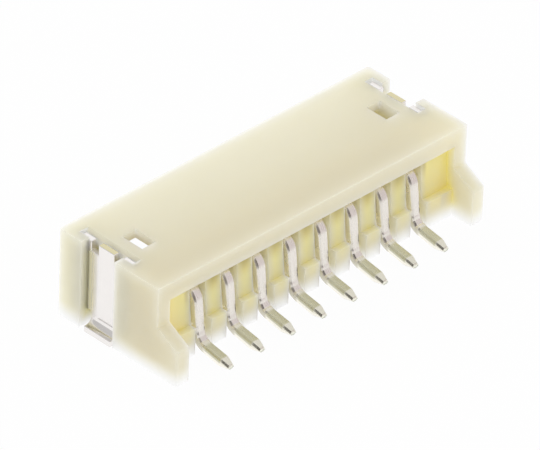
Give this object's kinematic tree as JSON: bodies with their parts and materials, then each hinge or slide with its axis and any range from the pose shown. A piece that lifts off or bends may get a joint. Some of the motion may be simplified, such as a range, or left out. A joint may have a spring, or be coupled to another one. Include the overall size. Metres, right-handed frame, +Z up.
{
  "type": "pin header",
  "caption": "Side-entry surface-mount pin header: shrouded ivory housing with a rear comb, bent tin-plated contacts and a solder tab at each end.",
  "frame": {"origin": "centre of the overall box in X and Y, on the plane of the solder feet (the board's face)", "axes": "+X along the row of contacts towards contact 1, -Y out of the mating mouth, +Y the way the solder feet point, +Z up from the board"},
  "size_m": [0.015, 0.0062, 0.0037],
  "materials": {
    "housing": "as-moulded ivory nylon, slightly translucent",
    "contact": "bright tin plate over copper alloy",
    "solder_tab": "bright tin plate over copper alloy"
  },
  "bodies": {
    "root": {"housing": "housing", "contact_pin_1": "contact", "contact_pin_2": "contact", "contact_pin_3": "contact", "contact_pin_4": "contact", "contact_pin_5": "contact", "contact_pin_6": "contact", "contact_pin_7": "contact", "contact_pin_8": "contact", "solder_tab_left": "solder_tab", "solder_tab_right": "solder_tab"}
  },
  "joints": []
}
